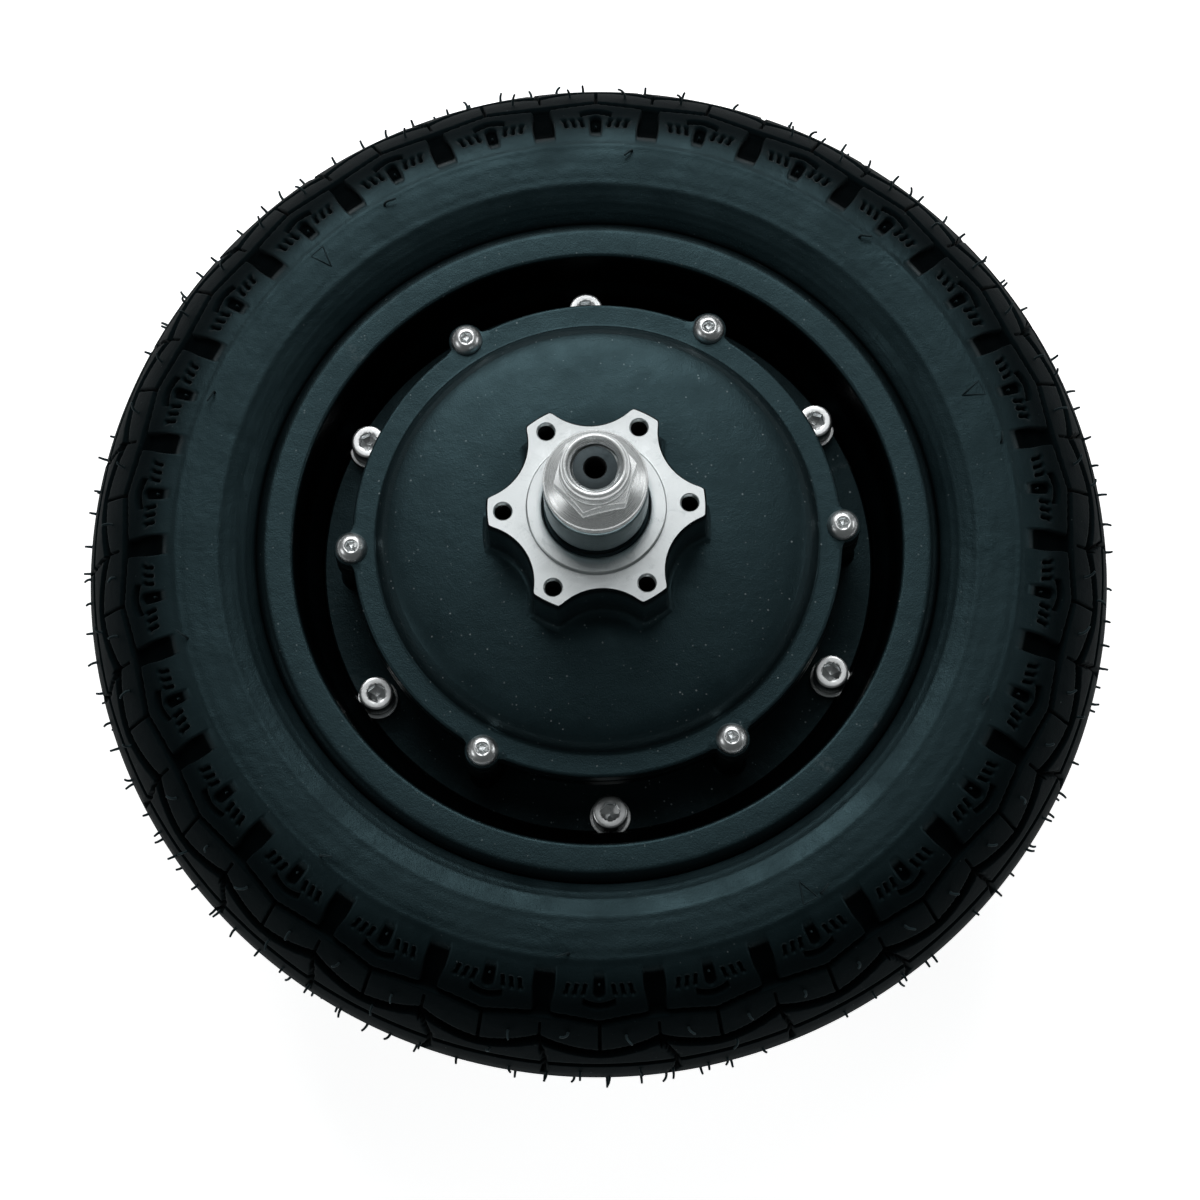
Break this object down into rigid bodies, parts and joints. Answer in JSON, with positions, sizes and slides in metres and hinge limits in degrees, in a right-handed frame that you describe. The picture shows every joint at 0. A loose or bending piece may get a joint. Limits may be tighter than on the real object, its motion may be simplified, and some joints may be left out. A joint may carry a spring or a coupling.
{
  "type": "hub motor wheel",
  "caption": "Air-tyred wheel driven by a planetary hub motor in its centre, with a lobed brake disc mount on the side cover and a fixed through axle.",
  "frame": {"origin": "wheel centre: on the axle's centre line, in the middle plane of the tyre and half way between the two ends of the axle assembly", "axes": "+Z along the axle towards the brake disc side; +X through a cover screw and a disc bolt, so +Y is up in a view of the disc side"},
  "size_m": [0.2538, 0.2538, 0.18],
  "materials": {
    "tyre_rubber": "matt black rubber",
    "tube_rubber": "black butyl rubber",
    "tape": "red-brown rim tape",
    "valve_brass": "satin brass",
    "steel_zinc": "bright zinc-plated steel",
    "black_plastic": "matt black plastic",
    "rim_paint": "semi-gloss black powder coat on aluminium",
    "shell_paint": "semi-gloss black powder coat on aluminium",
    "cover_paint": "semi-gloss black powder coat, disc mount face machined bright",
    "gasket": "black rubber gasket",
    "seal_rubber": "black nitrile rubber",
    "gear_steel": "hardened gear steel",
    "bearing_steel": "ground bearing steel",
    "axle_steel": "dark phosphated steel",
    "sleeve_steel": "satin turned steel",
    "lamination": "laminated silicon steel",
    "copper": "enamelled copper winding wire",
    "liner": "off-white slot liner film",
    "cast_alu": "cast aluminium",
    "board_green": "green circuit board",
    "roller_steel": "hardened steel",
    "spring_steel": "black spring steel",
    "bronze": "sintered bronze",
    "magnet": "nickel-plated magnet",
    "nylon": "natural nylon"
  },
  "bodies": {
    "axle": {"axle": "axle_steel", "disc_side_nut": "steel_zinc", "disc_side_spacer": "sleeve_steel", "cable_side_spacer": "sleeve_steel", "torque_washer": "steel_zinc", "cable_side_nut": "steel_zinc", "lead_grommet": "seal_rubber", "stator_core": "lamination", "stator_windings": "copper", "slot_liners": "liner", "stator_hub": "cast_alu", "stator_key": "roller_steel", "hall_board": "board_green", "disc_bearing_inner_race": "bearing_steel", "cable_bearing_inner_race": "bearing_steel", "rotor_bearing_inner_race": "bearing_steel", "one_way_clutch": "gear_steel", "clutch_rollers": "roller_steel", "planet_carrier": "gear_steel", "planet_pins": "roller_steel", "pin_circlips": "spring_steel", "thrust_washer": "bronze", "bearing_spacer": "sleeve_steel"},
    "wheel": {"tyre": "tyre_rubber", "inner_tube": "tube_rubber", "rim_tape": "tape", "valve_stem": "valve_brass", "valve_locknut": "steel_zinc", "valve_cap": "black_plastic", "rim": "rim_paint", "hub_shell": "shell_paint", "side_cover": "cover_paint", "cover_gasket": "gasket", "cover_screws": "steel_zinc", "rim_screws": "steel_zinc", "spring_washers": "steel_zinc", "flat_washers": "steel_zinc", "ring_gear": "gear_steel", "disc_side_seal": "seal_rubber", "cable_side_seal": "seal_rubber", "disc_bearing_outer_race": "bearing_steel", "cable_bearing_outer_race": "bearing_steel"},
    "rotor": {"rotor_can": "gear_steel", "rotor_magnets": "magnet", "sun_gear": "gear_steel", "rotor_bearing_outer_race": "bearing_steel"},
    "planet_1": {"planet_gear_1": "nylon", "planet_bush_1": "bronze"},
    "planet_2": {"planet_gear_2": "nylon", "planet_bush_2": "bronze"},
    "planet_3": {"planet_gear_3": "nylon", "planet_bush_3": "bronze"},
    "disc_bearing_ball_set": {"disc_bearing_balls": "bearing_steel"},
    "cable_bearing_ball_set": {"cable_bearing_balls": "bearing_steel"},
    "rotor_bearing_ball_set": {"rotor_bearing_balls": "bearing_steel"}
  },
  "joints": [
    {"name": "wheel_spin", "type": "hinge", "parent": "axle", "child": "wheel", "pos_m": [0, 0, 0], "axis": [0, 0, 1], "continuous": true},
    {"name": "rotor_spin", "type": "hinge", "parent": "axle", "child": "rotor", "pos_m": [0, 0, 0], "axis": [0, 0, 1], "continuous": true},
    {"name": "planet_1_spin", "type": "hinge", "parent": "axle", "child": "planet_1", "pos_m": [0.0285, 0, 0], "axis": [0, 0, 1], "continuous": true},
    {"name": "planet_2_spin", "type": "hinge", "parent": "axle", "child": "planet_2", "pos_m": [-0.01425, 0.02468, 0], "axis": [0, 0, 1], "continuous": true},
    {"name": "planet_3_spin", "type": "hinge", "parent": "axle", "child": "planet_3", "pos_m": [-0.01425, -0.02468, 0], "axis": [0, 0, 1], "continuous": true},
    {"name": "disc_bearing_roll", "type": "hinge", "parent": "axle", "child": "disc_bearing_ball_set", "pos_m": [0, 0, 0], "axis": [0, 0, 1], "continuous": true},
    {"name": "cable_bearing_roll", "type": "hinge", "parent": "axle", "child": "cable_bearing_ball_set", "pos_m": [0, 0, 0], "axis": [0, 0, 1], "continuous": true},
    {"name": "rotor_bearing_roll", "type": "hinge", "parent": "axle", "child": "rotor_bearing_ball_set", "pos_m": [0, 0, 0], "axis": [0, 0, 1], "continuous": true}
  ],
  "couplings": [
    {"joint": "rotor_spin", "follows": "wheel_spin", "ratio": -4.4286},
    {"joint": "planet_1_spin", "follows": "wheel_spin", "ratio": 2.5833},
    {"joint": "planet_2_spin", "follows": "wheel_spin", "ratio": 2.5833},
    {"joint": "planet_3_spin", "follows": "wheel_spin", "ratio": 2.5833},
    {"joint": "disc_bearing_roll", "follows": "wheel_spin", "ratio": 0.5928},
    {"joint": "cable_bearing_roll", "follows": "wheel_spin", "ratio": 0.5849},
    {"joint": "rotor_bearing_roll", "follows": "wheel_spin", "ratio": -2.5201}
  ]
}
